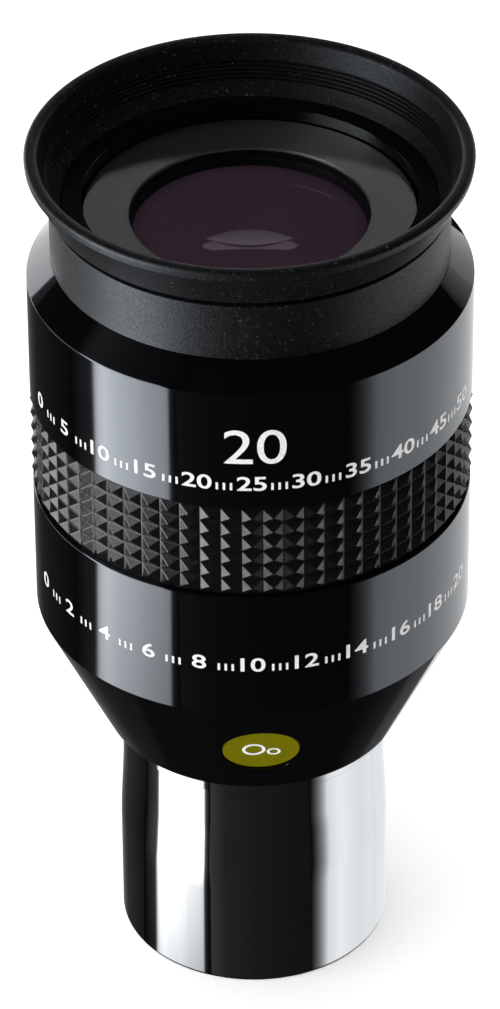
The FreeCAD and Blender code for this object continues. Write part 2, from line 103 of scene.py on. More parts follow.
def make_camera():
    """The camera in front of the eyepiece, looking down at it."""
    data = bpy.data.cameras.new("camera")
    data.lens = CAMERA_LENS
    data.sensor_width = CAMERA_SENSOR
    data.clip_start = CLIP_START * MM
    data.clip_end = CLIP_END * MM
    camera = bpy.data.objects.new("camera", data)
    rise = math.radians(CAMERA_RISE)
    camera.location = Vector((0, -math.cos(rise), math.sin(rise))) * CAMERA_DISTANCE * MM
    camera.location.z += CAMERA_TARGET_Z * MM
    tilt = math.radians(90 - CAMERA_RISE + CAMERA_PITCH_UP)
    aim = Euler((tilt, 0, math.radians(CAMERA_YAW))).to_matrix()
    camera.rotation_euler = (aim @ Matrix.Rotation(math.radians(CAMERA_ROLL), 3, "Z")).to_euler()
    bpy.context.scene.collection.objects.link(camera)
    bpy.context.scene.camera = camera


# ---------------------------------------------------------------- stage and light

# The light panels are sheets of a cylinder round the object. A place on it is an azimuth, in degrees
# from the front towards +X, and an elevation, in degrees above the height PANEL_CENTRE_Z.
PANEL_DISTANCE = 700.0
PANEL_CENTRE_Z = 60.0
PANEL_PIECES = 8
LAMP_STEPS = 32
FLOOR_HALF = 8000.0
ROOM_GLOW = 0.012
OVERHEAD_STRENGTH = 3.2
OVERHEAD_WIDTH = 100
COOL = (0.965, 0.985, 1.0, 1)
PLAIN = (1, 1, 1, 1)


def emitter(name, shade):
    """A glow whose brightness is painted on the mesh as the attribute glow."""
    material = bpy.data.materials.new(name)
    material.use_nodes = True
    nodes = material.node_tree.nodes
    nodes.clear()
    output = nodes.new("ShaderNodeOutputMaterial")
    glow = nodes.new("ShaderNodeEmission")
    painted = nodes.new("ShaderNodeAttribute")
    painted.attribute_name = "glow"
    glow.inputs["Color"].default_value = shade
    material.node_tree.links.new(painted.outputs["Fac"], glow.inputs["Strength"])
    material.node_tree.links.new(glow.outputs[0], output.inputs["Surface"])
    return material


def on_panel(azimuth, elevation):
    """The point of the panels' cylinder in this direction, in metres."""
    turn = math.radians(azimuth)
    z = PANEL_CENTRE_Z + PANEL_DISTANCE * math.tan(math.radians(elevation))
    return Vector((math.sin(turn) * PANEL_DISTANCE, -math.cos(turn) * PANEL_DISTANCE, z)) * MM


def glowing(name, verts, faces, glow, shade):
    """A light-giving sheet that the camera does not see and that casts no shadow."""
    mesh = bpy.data.meshes.new(name)
    mesh.from_pydata(verts, [], faces)
    mesh.attributes.new("glow", "FLOAT", "POINT").data.foreach_set("value", glow)
    mesh.materials.append(emitter(name, shade))
    panel = bpy.data.objects.new(name, mesh)
    bpy.context.scene.collection.objects.link(panel)
    panel.visible_camera = False
    panel.visible_shadow = False


def make_panel(name, stops, rise, shade=PLAIN, lean=(0, 0), fade=1.0):
    """A curved light panel. stops are (azimuth, brightness) from one side to the other, rise is the
    panel's lowest and highest elevation, lean turns the foot of its first and last edge by so many
    degrees, and fade is the brightness at the foot as a share of that at the top."""
    first, last = stops[0][0], stops[-1][0]
    verts, faces, glow = [], [], []
    for (start, dim), (end, lit) in zip(stops, stops[1:]):
        for piece in range(PANEL_PIECES + 1):
            azimuth = start + (end - start) * piece / PANEL_PIECES
            bright = dim + (lit - dim) * piece / PANEL_PIECES
            share = (azimuth - first) / (last - first)
            foot = azimuth + lean[0] * (1 - share) + lean[1] * share
            verts += [on_panel(foot, rise[0]), on_panel(azimuth, rise[1])]
            glow += [bright * fade, bright]
            if piece:
                corner = len(verts) - 2
                faces.append((corner - 2, corner, corner + 1, corner - 1))
    glowing(name, verts, faces, glow, shade)


def make_lamp(name, centre, half, outline, bright, shade):
    """A small lamp high behind the object, which shows as a soft reflection in the lens. outline
    gives its lower and upper edge, as shares of the half height, at a share of the half width, and
    bright is the brightness of those two edges."""
    verts, faces, glow = [], [], []
    for step in range(LAMP_STEPS + 1):
        across = 2 * step / LAMP_STEPS - 1
        for share, lit in zip(outline(across), bright):
            verts.append(on_panel(centre[0] + half[0] * across, centre[1] + half[1] * share))
            glow.append(lit)
        if step:
            corner = 2 * step
            faces.append((corner - 2, corner, corner + 1, corner - 1))
    glowing(name, verts, faces, glow, shade)


def pointed(across):
    """Edges of a lens-shaped lamp."""
    bulge = 1 - across ** 2
    return -bulge, bulge


def crescent(across):
    """Edges of the lamp that shows beside and below the pointed one, with a flat far edge and a
    hollow in its near edge."""
    near_edge, far_edge = 0.75, 0.6
    hollow_height, hollow_narrowing, hollow_drop = 1.15, 1.2, 0.72
    bulge = math.sqrt(1 - across ** 2)
    hollow = hollow_height * (1 - (across * hollow_narrowing) ** 2) - hollow_drop
    return min(max(-bulge * near_edge, hollow), bulge), min(bulge, far_edge)


def make_floor():
    """A pale floor with a faint glow of its own, which keeps the object's shade on it light."""
    corners = [(-FLOOR_HALF, -FLOOR_HALF), (FLOOR_HALF, -FLOOR_HALF), (FLOOR_HALF, FLOOR_HALF),
               (-FLOOR_HALF, FLOOR_HALF)]
    mesh = bpy.data.meshes.new("floor")
    mesh.from_pydata([(x * MM, y * MM, 0) for x, y in corners], [], [(0, 1, 2, 3)])
    floor = bpy.data.objects.new("floor", mesh)
    bpy.context.scene.collection.objects.link(floor)
    paper = bpy.data.materials.new("pale_floor")
    paper.use_nodes = True
    surface = paper.node_tree.nodes["Principled BSDF"]
    surface.inputs["Base Color"].default_value = (0.9, 0.9, 0.9, 1)
    surface.inputs["Roughness"].default_value = 0.9
    surface.inputs["Emission Color"].default_value = PLAIN
    surface.inputs["Emission Strength"].default_value = 0.3
    mesh.materials.append(paper)
    floor.visible_glossy = False
    floor.visible_shadow = False


def make_room_light():
    """Dim light from the whole room, and a soft overhead light that no reflection shows."""
    world = bpy.data.worlds.new("room")
    world.use_nodes = True
    world.node_tree.nodes["Background"].inputs["Color"].default_value = (0.92, 0.96, 1.0, 1)
    world.node_tree.nodes["Background"].inputs["Strength"].default_value = ROOM_GLOW
    bpy.context.scene.world = world

    sky = bpy.data.lights.new("overhead", "SUN")
    sky.energy = OVERHEAD_STRENGTH
    sky.angle = math.radians(OVERHEAD_WIDTH)
    overhead = bpy.data.objects.new("overhead", sky)
    overhead.visible_glossy = False
    bpy.context.scene.collection.objects.link(overhead)


def make_softboxes():
    """The lit panels that draw the bands of light on the barrel, the housings and the shoulder."""
    left = [(-104, 0.0), (-89.5, 0.12), (-88, 0.9), (-86.5, 4.2), (-84, 6.2), (-80, 7.2), (-72, 6.3),
            (-62, 5.6), (-53, 4.6), (-46, 4.1), (-43.3, 3.5), (-41.7, 0.2), (-40, 0.06), (-38, 0.0)]
    left_top = [(azimuth, bright * 0.3) for azimuth, bright in left]
    make_panel("softbox_left_foot", left, (-43, -34.5), COOL, lean=(-11, -2.1), fade=0.15)
    make_panel("softbox_left", left, (-34.5, 12), COOL)
    make_panel("softbox_left_top", left_top, (12, 29), COOL, fade=2.2)
    ceiling = [(-98, 0.0), (-91, 0.15), (-84, 0.13), (-77, 0.09), (-65, 0.05), (-53, 0.035), (-38, 0.0)]
    make_panel("ceiling_left", ceiling, (30, 56), COOL)
    make_panel("softbox_left_side", [(-128, 0.0), (-120, 1.2), (-90, 1.8), (-88.5, 0.0)], (-27, -5), COOL)
    right = [(49, 0.0), (52, 0.03), (55.5, 0.13), (58.5, 0.28), (61.5, 0.52), (64.5, 0.9), (67.3, 1.3),
             (70, 1.4), (80, 1.5), (100, 1.35), (120, 1.3)]
    make_panel("softbox_right", right, (-45, -28), COOL)


def make_surroundings():
    """The surroundings: walls and ground at the sides, the room in front and the backdrop."""
    make_panel("wall_right", [(120, 1.3), (180, 0.95)], (-45, -24), COOL)
    wall = [(-180, 0.3), (-156, 0.09), (-146, 0.04), (-112, 0.015), (-104, 0.0)]
    make_panel("wall_left", wall, (-64, -28), COOL)
    ground = [(110, 0.01), (131, 0.02), (145, 0.05), (148, 0.11), (180, 0.15)]
    make_panel("ground_right", ground, (-64, -45), COOL)
    front = [(-38, 0.07), (-25, 0.03), (0, 0.018), (49, 0.012)]
    make_panel("room_front", front, (-46, -16), (0.88, 0.95, 1, 1))
    behind_left = [(-180, 1.8), (-155, 1.8), (-131.5, 2.7), (-130.5, 0.15), (-112, 0.0)]
    make_panel("backdrop_left", behind_left, (-28, 14))
    behind_right = [(121, 0.0), (126, 0.3), (134.5, 0.6), (136, 0.85), (180, 1.1)]
    make_panel("backdrop_right", behind_right, (-12, 16.5))


def make_stage():
    """Floor, lights and light panels."""
    make_floor()
    make_room_light()
    make_softboxes()
    make_surroundings()
    make_lamp("lamp_low", (180, 38.3), (3.95, 1.3), crescent, (2.4, 3.6), (1, 0.9, 0.97, 1))
    make_lamp("lamp_high", (180, 37.2), (3.5, 1.25), pointed, (1.5, 3.6), (0.97, 0.97, 1, 1))
    bpy.context.scene.view_settings.view_transform = "Standard"


# ---------------------------------------------------------------- materials

USUAL_NOISE = (0.3, 0.7)  # most of a noise's values lie between these
TURNED = (0.02, 0.02, 1)  # draws a noise out into lines round the optical axis
DRAWN = (1, 1, 0.015)  # draws a noise out into streaks along the optical axis


class Shader:
    """One procedural material: a Principled surface and helpers that add nodes to it."""

    def __init__(self, name, colour, roughness, **sockets):
        self.material = bpy.data.materials.new(name)
        self.material.use_nodes = True
        self.tree = self.material.node_tree
        self.surface = self.tree.nodes["Principled BSDF"]
        self.surface.inputs["Base Color"].default_value = (*colour, 1)
        self.surface.inputs["Roughness"].default_value = roughness
        for socket, value in sockets.items():
            self.surface.inputs[socket.replace("_", " ")].default_value = value
        self.bump = None

    def node(self, kind, **inputs):
        """A new node whose inputs are numbers or other nodes' outputs."""
        made = self.tree.nodes.new("ShaderNode" + kind)
        for name, value in inputs.items():
            name = name.replace("_", " ")
            if isinstance(value, bpy.types.NodeSocket):
                self.tree.links.new(value, made.inputs[name])
            else:
                made.inputs[name].default_value = value
        return made

    def place(self, factors):
        """Object coordinates in mm, times a factor along each axis."""
        where = self.node("TexCoord").outputs["Object"]
        return self.node("Mapping", Vector=where, Scale=[factor / MM for factor in factors]).outputs[0]

    def noise(self, scale, detail, factors=(1, 1, 1)):
        """A noise with about scale features to each mm, drawn out along an axis whose factor is small."""
        made = self.node("TexNoise", Vector=self.place(factors), Scale=scale, Detail=detail)
        return made.outputs["Fac"]

    def fit(self, value, taken, given):
        """Turns the span of values taken into the span given."""
        made = self.node("MapRange", Value=value, From_Min=taken[0], From_Max=taken[1],
                         To_Min=given[0], To_Max=given[1])
        return made.outputs["Result"]

    def vary(self, scale, detail, lowest, highest):
        """A noise that runs from lowest to highest."""
        return self.fit(self.noise(scale, detail), USUAL_NOISE, (lowest, highest))

    def roughen(self, value):
        """Roughness by value."""
        self.tree.links.new(value, self.surface.inputs["Roughness"])

    def tint(self, value, first, second):
        """Colour between two shades by value."""
        mix = self.tree.nodes.new("ShaderNodeMix")
        mix.data_type = "RGBA"
        self.tree.links.new(value, mix.inputs["Factor"])
        mix.inputs["A"].default_value = (*first, 1)
        mix.inputs["B"].default_value = (*second, 1)
        self.tree.links.new(mix.outputs["Result"], self.surface.inputs["Base Color"])

    def raise_by(self, value, depth, strength):
        """Bump of the given depth in mm, on top of any bump before it."""
        made = self.node("Bump", Height=value, Distance=depth * MM, Strength=strength)
        if self.bump:
            self.tree.links.new(self.bump.outputs[0], made.inputs["Normal"])
        self.bump = made
        self.tree.links.new(made.outputs[0], self.surface.inputs["Normal"])


def black_anodised():
    """Gloss black anodised aluminium with the finest turning lines and a little handling haze."""
    shader = Shader("black_anodised", (0.0012, 0.0012, 0.0014), 0.05, IOR=1.62,
                    Specular_Tint=(0.84, 0.91, 1.0, 1))
    shader.roughen(shader.vary(0.08, 4, 0.035, 0.075))
    shader.raise_by(shader.noise(3.0, 2, TURNED), 0.002, 0.2)
    shader.raise_by(shader.noise(0.9, 3, DRAWN), 0.003, 0.2)
    return shader.material


def chrome():
    """Polished chrome plate over a turned barrel."""
    shader = Shader("chrome", (0.54, 0.55, 0.56), 0.05, Metallic=1.0)
    streaks = shader.fit(shader.noise(0.5, 3, DRAWN), (0.35, 0.65), (0, 1))
    shader.tint(streaks, (0.515, 0.525, 0.54), (0.565, 0.57, 0.575))
    shader.roughen(shader.vary(0.15, 4, 0.02, 0.06))
    shader.raise_by(shader.noise(4.0, 2, TURNED), 0.002, 0.15)
    shader.raise_by(shader.noise(0.8, 3, DRAWN), 0.003, 0.2)
    return shader.material


def cup_rubber():
    """Matte moulded rubber with a fine grain and a trace of dust."""
    shader = Shader("cup_rubber", (0.004, 0.004, 0.0045), 0.45, IOR=1.5,
                    Specular_Tint=(0.86, 0.93, 1.0, 1))
    dust = shader.fit(shader.noise(3.0, 8), (0.62, 0.76), (0, 1))
    shader.tint(dust, (0.003, 0.003, 0.0034), (0.05, 0.051, 0.054))
    shader.roughen(shader.vary(3.0, 5, 0.36, 0.52))
    shader.raise_by(shader.noise(3.5, 5), 0.04, 0.8)
    return shader.material


def grip_rubber():
    """Harder moulded rubber of the grip, slightly shiny."""
    shader = Shader("grip_rubber", (0.004, 0.004, 0.0045), 0.24, IOR=1.5)
    shader.roughen(shader.vary(0.9, 5, 0.17, 0.3))
    shader.raise_by(shader.noise(1.3, 2), 0.05, 0.4)
    shader.raise_by(shader.noise(9.0, 3), 0.012, 0.4)
    return shader.material


def grey_anodised():
    """Bead-blasted grey anodising of the trim ring."""
    shader = Shader("grey_anodised", (0.97, 0.97, 0.92), 0.42, Metallic=1.0, Anisotropic=0.6,
                    Anisotropic_Rotation=0.25)
    shader.raise_by(shader.noise(12.0, 3), 0.01, 0.2)
    shader.roughen(shader.vary(0.6, 4, 0.4, 0.45))
    return shader.material


def matte_black():
    """Matte black anodising inside the barrel and round the lens."""
    shader = Shader("matte_black", (0.0025, 0.0025, 0.003), 0.5, IOR=1.5)
    shader.roughen(shader.vary(0.6, 4, 0.4, 0.6))
    shader.raise_by(shader.noise(8.0, 2, (0.03, 0.03, 1)), 0.004, 0.4)
    return shader.material


def lens_coating_painted_reflection():
    """Multicoated glass whose deep purple is painted into its base colour as a stand-in for the coating's
    reflection; the purple-tinted specular is real reflection.
    """
    # Painted reflection: the dark purple base colour stands in for the purple light that the coating
    # reflects.
    shader = Shader("lens_coating_painted_reflection", (0.024, 0.014, 0.022), 0.02, IOR=1.45, Specular_IOR_Level=0.07,
                    Specular_Tint=(1.0, 0.74, 0.95, 1))
    # The painted purple of the coating's reflection, made slightly uneven.
    shader.tint(shader.vary(0.05, 2, 0, 1), (0.022, 0.0135, 0.022), (0.026, 0.0145, 0.022))
    return shader.material


def clear_glass():
    """The glass of the inner lenses."""
    shader = Shader("clear_glass", (0.85, 0.9, 0.88), 0.02, IOR=1.52, Transmission_Weight=0.9)
    shader.roughen(shader.vary(0.2, 3, 0.01, 0.03))
    return shader.material


def olive_enamel():
    """Olive enamel of the purge disc."""
    shader = Shader("olive_enamel", (0.122, 0.112, 0.0003), 0.3, IOR=1.45, Specular_IOR_Level=0.03)
    shader.tint(shader.vary(0.9, 5, 0, 1), (0.116, 0.107, 0.0003), (0.129, 0.118, 0.0004))
    shader.raise_by(shader.noise(3.0, 3), 0.01, 0.15)
    return shader.material


def white_ink():
    """Silk-screened white ink, very slightly uneven."""
    shader = Shader("white_ink", (0.75, 0.75, 0.75), 0.5, IOR=1.4)
    cover = shader.fit(shader.noise(5.0, 4), (0.35, 0.65), (0, 1))
    shader.tint(cover, (0.6, 0.6, 0.6), (0.82, 0.82, 0.82))
    shader.raise_by(shader.noise(10.0, 3), 0.005, 0.3)
    return shader.material


def seal_rubber():
    """Black rubber of the O-rings."""
    shader = Shader("seal_rubber", (0.012, 0.012, 0.012), 0.4, IOR=1.5)
    shader.raise_by(shader.noise(6.0, 3), 0.01, 0.3)
    return shader.material


def turned_steel():
    """Bare steel of the purge plug."""
    shader = Shader("turned_steel", (0.45, 0.45, 0.46), 0.3, Metallic=1.0)
    shader.raise_by(shader.noise(6.0, 3), 0.005, 0.3)
    return shader.material


# ---------------------------------------------------------------- mesh making

SEGMENTS = 256
SMALL_SEGMENTS = 128
ARC_STEPS = 5
SHARP_ANGLE = math.radians(38)
WELD_DISTANCE = 0.0001
SLIVER_LENGTH = 0.00001


def rounded(corners, steps=ARC_STEPS):
    """An outline in mm from (radius, height, rounding) corners. Each rounding becomes an arc with a
    support point just outside each end, which keeps the flat sides' shading flat."""
    most_of_side, support = 0.42, 1.15
    outline = []
    for index, (x, z, rounding) in enumerate(corners):
        here = Vector((x, z))
        if not rounding:
            outline.append(here)
            continue
        back = Vector(corners[index - 1][:2]) - here
        onward = Vector(corners[(index + 1) % len(corners)][:2]) - here
        half = back.angle(onward) / 2
        reach = min(rounding / math.tan(half), most_of_side * back.length, most_of_side * onward.length)
        bend = reach * math.tan(half)
        start = here + back.normalized() * reach
        finish = here + onward.normalized() * reach
        middle = here + (back.normalized() + onward.normalized()).normalized() * (bend / math.sin(half))
        outline.append(here + back.normalized() * reach * support)
        first, last = start - middle, finish - middle
        sweep = first.angle_signed(last)
        for step in range(steps + 1):
            turn = Matrix.Rotation(-sweep * step / steps, 2)
            outline.append(middle + turn @ first)
        outline.append(here + onward.normalized() * reach * support)
    return outline


def lathe(name, outline, segments=SEGMENTS):
    """Turns a closed outline of (radius, height) points about the optical axis into a mesh object."""
    verts, faces = [], []
    count = len(outline)
    for segment in range(segments):
        turn = 2 * math.pi * segment / segments
        for point in outline:
            verts.append(Vector((point[0] * math.sin(turn), -point[0] * math.cos(turn), point[1])) * MM)
    for segment in range(segments):
        here, there = segment * count, (segment + 1) % segments * count
        for side in range(count):
            after = (side + 1) % count
            faces.append((here + side, there + side, there + after, here + after))
    return solid(name, verts, faces)


def solid(name, verts, faces, smooth=True):
    """A mesh object without doubled points, with its faces turned outwards."""
    mesh = bpy.data.meshes.new(name)
    mesh.from_pydata(verts, [], faces)
    shaper = bmesh.new()
    shaper.from_mesh(mesh)
    bmesh.ops.remove_doubles(shaper, verts=shaper.verts, dist=WELD_DISTANCE * MM)
    bmesh.ops.dissolve_degenerate(shaper, edges=shaper.edges, dist=SLIVER_LENGTH * MM)
    bmesh.ops.recalc_face_normals(shaper, faces=shaper.faces)
    shaper.to_mesh(mesh)
    shaper.free()
    if smooth:
        mesh.shade_smooth()
        mesh.set_sharp_from_angle(angle=SHARP_ANGLE)
    piece = bpy.data.objects.new(name, mesh)
    bpy.context.scene.collection.objects.link(piece)
    return piece


def finish_piece(piece, material, nodes=(), body="housing"):
    """Gives a piece its material, hides the nodes it replaces and hangs it on the body it rides.
    A blended piece has no body of its own here."""
    piece.data.materials.clear()
    piece.data.materials.append(material)
    if nodes:
        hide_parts(*nodes)
    if body:
        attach(piece, body)


# ---------------------------------------------------------------- barrel

BAND_TOP = 15.0
WAIST_R = 15.5
WAIST_TOP = 22.5
NECK_R = 15.42
NECK_TOP = 28.0
SHELF_R = 15.62
SHELF_Z = 28.15
SHELF_TOP = FOOT_Z + 0.05
SPIGOT_BORE_R = 14.3
BORE_R = 13.2
BORE_TOP = 12.0
THREAD_R = 14.25
THREAD_PITCH = 0.6
THREAD_DEPTH = 0.3
THREAD_TURNS = 7
THREAD_START = 4.7
THREAD_FOOT = 0.45
RELIEF_Z = 5.0
MOUTH_CHAMFER = 0.35


def make_barrel():
    """Chrome barrel: full-diameter band, tapered undercut, shelf under the housing, threaded mouth."""
    outline = [(BARREL_R, 0, 0.35), (BARREL_R, BAND_TOP, 60), (WAIST_R, WAIST_TOP, 60),
               (NECK_R, NECK_TOP, 0.05), (SHELF_R, SHELF_Z, 0.08), (SHELF_R, SHELF_TOP, 0),
               (SPIGOT_BORE_R, SHELF_TOP, 0), (BORE_R, BORE_TOP, 0), (BORE_R, RELIEF_Z, 0.2),
               (THREAD_R, RELIEF_Z, 0)]
    for turn in range(THREAD_TURNS):
        top = THREAD_START - turn * THREAD_PITCH
        outline.append((THREAD_R, top, 0.03))
        outline.append((THREAD_R - THREAD_DEPTH, top - THREAD_PITCH / 2, 0.05))
    outline.append((THREAD_R, THREAD_FOOT, 0))
    outline.append((THREAD_R + MOUTH_CHAMFER, 0, 0.1))
    piece = lathe("barrel", rounded(outline))
    finish_piece(piece, chrome(), ["barrel_tube"])


# ---------------------------------------------------------------- housings

FOOT_R = 17.5
FOOT_BORE_R = 15.55
FOOT_THICKNESS = 6
HOLLOW_R = 20
CONE_TOP = 47.2
CONE_ANGLE = 25.15
GRIP_NECK_R = 23.6
GRIP_NECK_REACH = 2
GRIP_GAP = 0.06
PORT_AZIMUTH = 2.4
PORT_R = 4.7
PORT_DEPTH = 1.0
PORT_BEVEL = 0.25
DISC_THICKNESS = 0.55
UPPER_HOLLOW_R = 22.0
UPPER_HOLLOW_TOP = 90.0
SHOULDER_Z = 91.3
SHOULDER_TOP = 94.1
SHOULDER_TOP_R = 22.5
COLLAR_R = 21.1
COLLAR_BORE_R = 18.85
COLLAR_BORE_Z = 97.0


def port_frame():
    """Matrix, in metres, of the purge port: origin in the disc's middle, +Z out of the cone."""
    lowest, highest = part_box("purge_disc")
    centre = (Vector(lowest) + Vector(highest)) / 2
    square = Euler((math.radians(90 + CONE_ANGLE), 0, math.radians(PORT_AZIMUTH)))
    return Matrix.Translation(centre) @ square.to_matrix().to_4x4()


def sink_port(piece):
    """Cuts the round recess of the purge disc into the cone."""
    above = 2.0
    floor = -DISC_THICKNESS / 2
    rim = floor + PORT_DEPTH
    outline = [(0, floor), (PORT_R, floor), (PORT_R, rim - PORT_BEVEL),
               (PORT_R + PORT_BEVEL + above, rim + above), (0, rim + above)]
    cutter = lathe("cutter", outline, SMALL_SEGMENTS)
    cutter.data.transform(port_frame())
    cut = piece.modifiers.new("port", "BOOLEAN")
    cut.operation = "DIFFERENCE"
    cut.solver = "EXACT"
    cut.object = cutter
    bpy.context.view_layer.update()
    shown = piece.evaluated_get(bpy.context.evaluated_depsgraph_get())
    carved = bpy.data.meshes.new_from_object(shown)
    piece.modifiers.clear()
    piece.data = carved
    bpy.data.objects.remove(cutter)
    carved.shade_smooth()
    carved.set_sharp_from_angle(angle=SHARP_ANGLE)


def make_lower_housing(finish):
    """Cone and cylinder below the grip, with a neck that carries the grip."""
    top, neck_top = GRIP_Z - GRIP_GAP, GRIP_Z + GRIP_NECK_REACH
    floor = FOOT_Z + FOOT_THICKNESS
    outline = [(FOOT_BORE_R, FOOT_Z, 0.05), (FOOT_R, FOOT_Z, 0.18), (LOWER_R, CONE_TOP, 0.3),
               (LOWER_R, top, 0.22), (GRIP_NECK_R, top, 0), (GRIP_NECK_R, neck_top, 0),
               (HOLLOW_R, neck_top, 0), (HOLLOW_R, floor, 0), (FOOT_BORE_R, floor, 0)]
    piece = lathe("lower_housing_shell", rounded(outline))
    sink_port(piece)
    finish_piece(piece, finish, ["lower_housing"])


def make_upper_housing(finish):
    """Cylinder above the grip, with a sloping shoulder and the collar of the eye end."""
    foot, neck_foot = GRIP_TOP + GRIP_GAP, GRIP_TOP - GRIP_NECK_REACH
    outline = [(UPPER_HOLLOW_R, neck_foot, 0), (GRIP_NECK_R, neck_foot, 0), (GRIP_NECK_R, foot, 0),
               (UPPER_R, foot, 0.2), (UPPER_R, SHOULDER_Z, 0.25), (SHOULDER_TOP_R, SHOULDER_TOP, 0.1),
               (COLLAR_R, SHOULDER_TOP, 0), (COLLAR_R, COLLAR_TOP, 0.12), (COLLAR_BORE_R, COLLAR_TOP, 0.1),
               (COLLAR_BORE_R, COLLAR_BORE_Z, 0), (UPPER_HOLLOW_R, UPPER_HOLLOW_TOP, 0)]
    piece = lathe("upper_housing_shell", rounded(outline))
    finish_piece(piece, finish, ["upper_housing"])


# ---------------------------------------------------------------- grip

GRIP_ROWS = 6
GRIP_COLUMNS = 66
GRIP_PITCH = 1.92
GRIP_BORE_R = 22.7
GRIP_VALLEY_R = 24.7
GRIP_TIP_R = 25.33
GRIP_EDGE_WIDTH = 0.07
GRIP_EDGE_ANGLE = 20


def make_grip():
    """Six rows of four-sided points round the ring, with their edges slightly rounded."""
    rim = (GRIP_TOP - GRIP_Z - GRIP_ROWS * GRIP_PITCH) / 2
    first = GRIP_Z + rim
    step = 2 * math.pi / GRIP_COLUMNS
    verts, faces = [], []

    def corner(r, turn, z):
        verts.append(Vector((r * math.sin(turn), -r * math.cos(turn), z)) * MM)
        return len(verts) - 1

    levels = [(GRIP_BORE_R, GRIP_Z), (GRIP_VALLEY_R, GRIP_Z)]
    rings_below_points = len(levels)
    levels += [(GRIP_VALLEY_R, first + row * GRIP_PITCH) for row in range(GRIP_ROWS + 1)]
    levels += [(GRIP_VALLEY_R, GRIP_TOP), (GRIP_BORE_R, GRIP_TOP)]
    rings = [[corner(r, (column - 0.5) * step, z) for column in range(GRIP_COLUMNS)] for r, z in levels]
    for index, lower in enumerate(rings):
        upper = rings[(index + 1) % len(rings)]
        row = index - rings_below_points
        for column in range(GRIP_COLUMNS):
            after = (column + 1) % GRIP_COLUMNS
            cell = (lower[column], lower[after], upper[after], upper[column])
            if not 0 <= row < GRIP_ROWS:
                faces.append(cell)
                continue
            tip = corner(GRIP_TIP_R, column * step, first + (row + 0.5) * GRIP_PITCH)
            faces += [(cell[side], cell[(side + 1) % 4], tip) for side in range(4)]
    piece = solid("grip", verts, faces, smooth=False)
    bevel = piece.modifiers.new("worn edges", "BEVEL")
    bevel.width = GRIP_EDGE_WIDTH * MM
    bevel.segments = 2
    bevel.limit_method = "ANGLE"
    bevel.angle_limit = math.radians(GRIP_EDGE_ANGLE)
    bevel.harden_normals = False
    finish_piece(piece, grip_rubber(), ["grip_ring"])


# ---------------------------------------------------------------- eyecup

SLEEVE_BORE_R = 21.15
SLEEVE_TOP = 101.1
SLEEVE_BORE_TOP = 101.0
NOTCH_R = 21.95
NOTCH_Z = 101.3
NOTCH_TOP_R = 22.0
NOTCH_TOP = 101.62
FLARE_R = 22.85
FLARE_Z = 101.85
FLARE_TOP_R = 24.55
FLARE_TOP = 105.25
LIP_FOOT_R = 25.05
LIP_FOOT_Z = 105.95
LIP_R = 25.2
LIP_INNER_R = 23.75
LIP_BORE_R = 23.2
LIP_BORE_Z = 105.6
CUP_FLOOR_R = 21.75
CUP_FLOOR_Z = 101.7
CUP_ARC_STEPS = 6
RIBS = 5
RIB_PROFILE = (0.12, 0.42, 0.58, 0.88)
RIB_DEPTH = 0.24
RIB_TOP = (22.88, 104.75)
RIB_FOOT = (22.25, 102.35)


def make_eyecup():
    """One rubber moulding: sleeve, fold notch, flare with ribs inside, and the rolled lip."""
    outer = [(SLEEVE_BORE_R, SLEEVE_Z, 0), (SLEEVE_R, SLEEVE_Z, 0.12), (SLEEVE_R, SLEEVE_TOP, 0.08),
             (NOTCH_R, NOTCH_Z, 0.1), (NOTCH_TOP_R, NOTCH_TOP, 0.1), (FLARE_R, FLARE_Z, 0.15),
             (FLARE_TOP_R, FLARE_TOP, 1.5), (LIP_FOOT_R, LIP_FOOT_Z, 0.5), (LIP_R, LIP_TOP, 0.85),
             (LIP_INNER_R, LIP_TOP, 0.8), (LIP_BORE_R, LIP_BORE_Z, 1.2)]
    top, foot = Vector(RIB_TOP), Vector(RIB_FOOT)
    ribs = [(*RIB_TOP, 0.2)]
    for rib in range(RIBS):
        for share, depth in zip(RIB_PROFILE, (0.0, RIB_DEPTH, RIB_DEPTH, 0.0)):
            point = top.lerp(foot, (rib + share) / RIBS)
            ribs.append((point.x + depth, point.y, 0.03))
    floor = [(*RIB_FOOT, 0.2), (CUP_FLOOR_R, CUP_FLOOR_Z, 0.5), (SLEEVE_BORE_R, SLEEVE_BORE_TOP, 0.15)]
    piece = lathe("eyecup", rounded(outer + ribs + floor, CUP_ARC_STEPS))
    finish_piece(piece, cup_rubber(), ["eyecup_sleeve", "eyecup_flare", "eyecup_lip"], None)
    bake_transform(piece)


# ---------------------------------------------------------------- eye end

TRIM_R = 18.7
TRIM_Z = 98.95
TRIM_BORE_R = 13.55
TRIM_BORE_Z = 98.5
TRIM_BORE_TOP = 98.85
LOCK_R = 18.5
LOCK_Z = 96.6
LOCK_TOP = 98.85
LOCK_BORE_R = 13.5
LOCK_BORE_TOP = 98.4
LOCK_LIP_R = 13.2
LOCK_LIP_Z = 96.66
LOCK_LIP_TOP = 97.6
LENS_R = 15.9
LENS_SAG = 0.85
LENS_RINGS = 24
LENS_SIDE_Z = 93.0
LENS_Z = 91.0


def make_trim_ring():
    """Grey ring that slopes down towards the eye lens."""
    outline = [(TRIM_BORE_R, TRIM_BORE_Z, 0), (TRIM_R, TRIM_Z, 0), (TRIM_R, TRIM_TOP, 0.08),
               (TRIM_BORE_R, TRIM_BORE_TOP, 0.06)]
    finish_piece(lathe("trim_ring", rounded(outline)), grey_anodised(), ["eye_trim_ring"])


